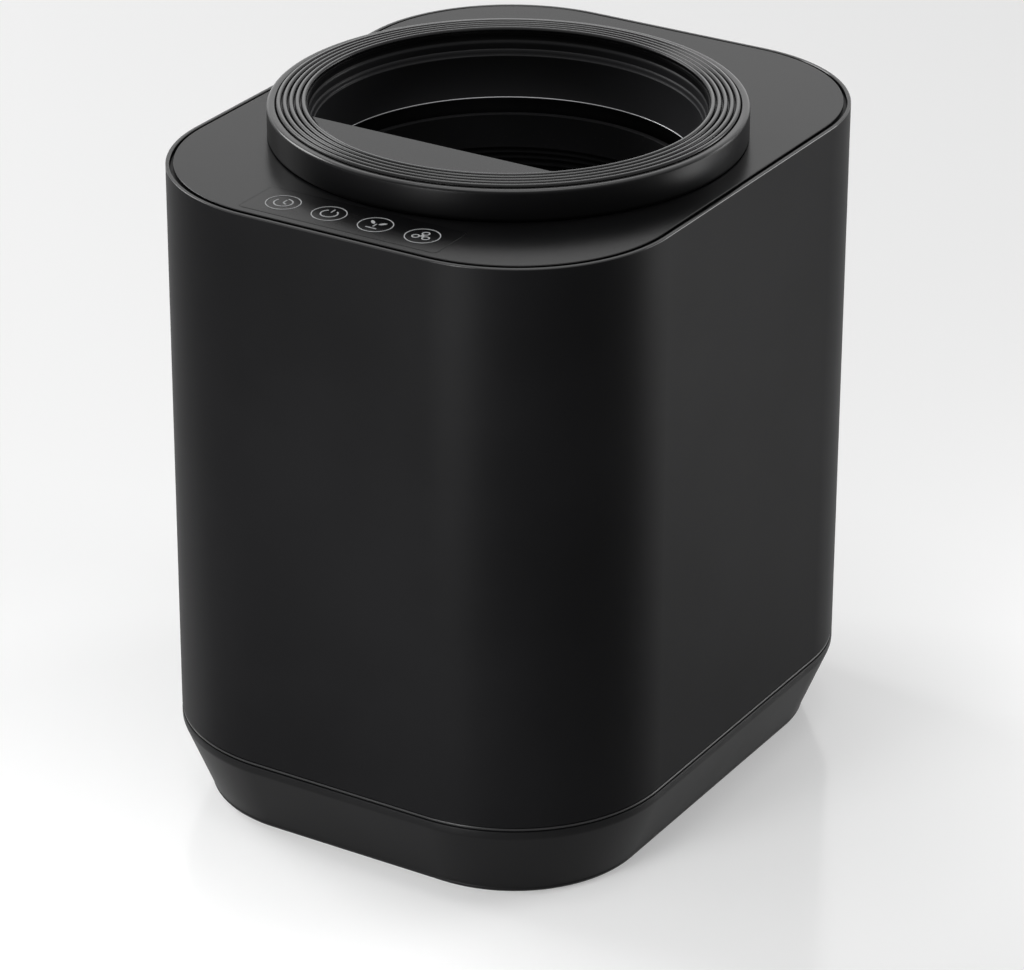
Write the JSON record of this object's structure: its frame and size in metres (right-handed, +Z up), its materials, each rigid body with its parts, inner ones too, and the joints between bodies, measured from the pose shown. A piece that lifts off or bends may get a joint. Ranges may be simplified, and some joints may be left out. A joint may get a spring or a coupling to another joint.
{
  "type": "electric food waste composter",
  "caption": "Rounded black case on a tapered base, with a ribbed collar round a lift-out bucket, a touch panel, a geared stirrer and a rear filter drawer.",
  "frame": {"origin": "middle of the case's plan, on the worktop under the rubber feet", "axes": "+Z up; -Y is the front with the touch panel; +X is to the right of someone who faces the front"},
  "size_m": [0.27, 0.331, 0.3621],
  "materials": {
    "black_shell": "satin black powder coat",
    "black_deck": "fine matt black moulding",
    "inner_plastic": "plain dark moulding",
    "dark_trim": "satin dark band",
    "base_plastic": "satin black moulding",
    "foot_rubber": "matt rubber",
    "zinc_steel": "zinc plated",
    "screw_steel": "bright",
    "gearbox_plastic": "glass filled moulding",
    "bronze": "sintered",
    "motor_steel": "drawn can",
    "liner_aluminium": "spun",
    "heater_film": "silicone heater film",
    "insulation_felt": "needle felt",
    "cream_plastic": "ceramic cream",
    "gloss_panel": "gloss film",
    "pale_print": "pale print",
    "green_board": "solder mask",
    "board_parts": "mixed components",
    "pin_metal": "nickel plated",
    "lead_rubber": "cable sheath",
    "collar_plastic": "satin black moulding",
    "seal_rubber": "satin black silicone",
    "ledge_plastic": "fine matt black moulding",
    "bucket_coat": "cast, with a dark non-stick coat",
    "handle_steel": "satin wire",
    "grip_rubber": "soft grip",
    "stirrer_steel": "cast steel",
    "gear_nylon": "natural nylon",
    "drawer_plastic": "satin black moulding",
    "filter_carbon": "carbon filter cassette"
  },
  "bodies": {
    "casing": {"outer_shell": "black_shell", "deck_plate": "black_deck", "deck_frame": "inner_plastic", "trim_ring": "dark_trim", "base_tray": "base_plastic", "rubber_feet": "foot_rubber", "corner_posts": "zinc_steel", "chassis_plate": "zinc_steel", "chassis_screws": "screw_steel", "deck_screws": "screw_steel", "gearbox_housing": "gearbox_plastic", "gearbox_cover": "gearbox_plastic", "output_bearing": "bronze", "idler_axle": "screw_steel", "drive_motor": "motor_steel", "chamber_liner": "liner_aluminium", "liner_screws": "screw_steel", "chamber_legs": "zinc_steel", "heater_band": "heater_film", "insulation_jacket": "insulation_felt", "thermal_cutout": "cream_plastic", "temperature_sensor": "screw_steel", "touch_panel": "gloss_panel", "touch_icons": "pale_print", "control_board": "green_board", "touch_pads": "bronze", "lid_sensor": "inner_plastic", "power_board": "green_board", "power_components": "board_parts", "power_inlet": "inner_plastic", "inlet_pins": "pin_metal", "inlet_lead": "lead_rubber", "blower_housing": "inner_plastic", "blower_cover": "inner_plastic", "fan_motor": "motor_steel", "air_duct": "gearbox_plastic", "filter_housing": "inner_plastic"},
    "collar": {"collar_ring": "collar_plastic", "ribbed_seal": "seal_rubber", "front_ledge": "ledge_plastic"},
    "bucket": {"bucket": "bucket_coat", "bucket_pan": "bucket_coat", "breaker_bars": "stirrer_steel", "bucket_bushing": "bronze", "shaft_seal": "seal_rubber", "handle_pins": "pin_metal"},
    "handle": {"bucket_handle": "handle_steel", "handle_grip": "grip_rubber"},
    "stirrer": {"stirrer": "stirrer_steel", "stirrer_shaft": "screw_steel", "stirrer_nut": "stirrer_steel", "bucket_coupling": "gearbox_plastic"},
    "drive": {"output_gear": "gear_nylon", "output_shaft": "screw_steel", "drive_coupling": "stirrer_steel"},
    "idler": {"idler_gear": "gear_nylon"},
    "pinion": {"motor_pinion": "pin_metal"},
    "fan": {"fan_rotor": "gearbox_plastic"},
    "drawer": {"filter_drawer": "drawer_plastic", "filter_cartridge": "filter_carbon"}
  },
  "joints": [
    {"name": "stirrer_spin", "type": "hinge", "parent": "bucket", "child": "stirrer", "pos_m": [0, -0.0054, 0.2], "axis": [0, 0, 1], "continuous": true},
    {"name": "drive_spin", "type": "hinge", "parent": "casing", "child": "drive", "pos_m": [0, -0.0054, 0.09], "axis": [0, 0, 1], "continuous": true},
    {"name": "idler_spin", "type": "hinge", "parent": "casing", "child": "idler", "pos_m": [0, 0.0471, 0.065], "axis": [0, 0, 1], "continuous": true},
    {"name": "motor_spin", "type": "hinge", "parent": "casing", "child": "pinion", "pos_m": [0, 0.0771, 0.08], "axis": [0, 0, 1], "continuous": true},
    {"name": "collar_lift", "type": "slide", "parent": "casing", "child": "collar", "axis": [0, 0, 1], "range_m": [0, 0.27]},
    {"name": "bucket_lift", "type": "slide", "parent": "casing", "child": "bucket", "axis": [0, 0, 1], "range_m": [0, 0.2]},
    {"name": "handle_swing", "type": "hinge", "parent": "bucket", "child": "handle", "pos_m": [0, -0.0054, 0.311], "axis": [-1, 0, 0], "range_deg": [0, 90]},
    {"name": "fan_spin", "type": "hinge", "parent": "casing", "child": "fan", "pos_m": [0, 0.135, 0.288], "axis": [0, 1, 0], "continuous": true},
    {"name": "drawer_slide", "type": "slide", "parent": "casing", "child": "drawer", "axis": [0, 1, 0], "range_m": [0, 0.045]}
  ],
  "couplings": [
    {"joint": "drive_spin", "follows": "stirrer_spin", "ratio": 1},
    {"joint": "idler_spin", "follows": "stirrer_spin", "ratio": -4},
    {"joint": "motor_spin", "follows": "stirrer_spin", "ratio": 16},
    {"joint": "bucket_lift", "follows": "collar_lift", "ratio": 0.74}
  ]
}
